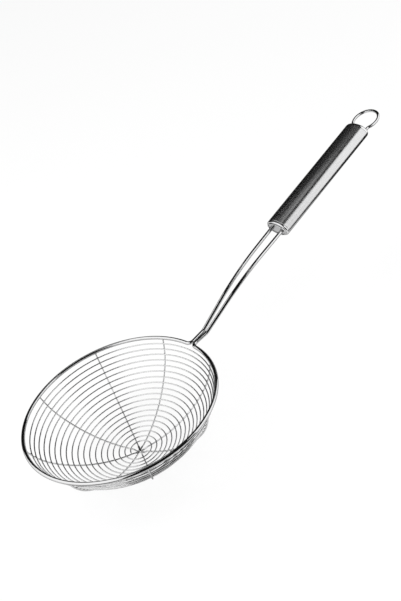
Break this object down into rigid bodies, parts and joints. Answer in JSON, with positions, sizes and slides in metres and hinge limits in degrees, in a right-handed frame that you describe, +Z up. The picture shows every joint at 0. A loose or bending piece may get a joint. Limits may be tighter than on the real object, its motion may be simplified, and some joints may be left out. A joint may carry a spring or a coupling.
{
  "type": "wire skimmer",
  "caption": "Wire skimmer with a round bowl of spiral wire on crossed ribs, a bent rod shaft, an oval steel handle and a hanging loop.",
  "frame": {"origin": "the middle of the hub's underside, on the flat of the lowest rib", "axes": "+Z up along the bowl's axis out of its mouth, +X from the bowl towards the handle, +Y across the handle"},
  "size_m": [0.4135, 0.159, 0.1268],
  "materials": {
    "frame_steel": "polished stainless steel wire",
    "basket_steel": "polished thin stainless steel wire",
    "handle_steel": "brushed across the length",
    "cap_steel": "polished stainless steel"
  },
  "bodies": {
    "root": {"frame_wire": "frame_steel", "rib_wire_1": "basket_steel", "rib_wire_2": "basket_steel", "rib_wire_3": "basket_steel", "rib_wire_4": "basket_steel", "spiral_wire": "basket_steel", "handle_tube": "handle_steel", "front_cap": "cap_steel", "rear_cap": "cap_steel", "hanging_loop": "frame_steel"}
  },
  "joints": []
}
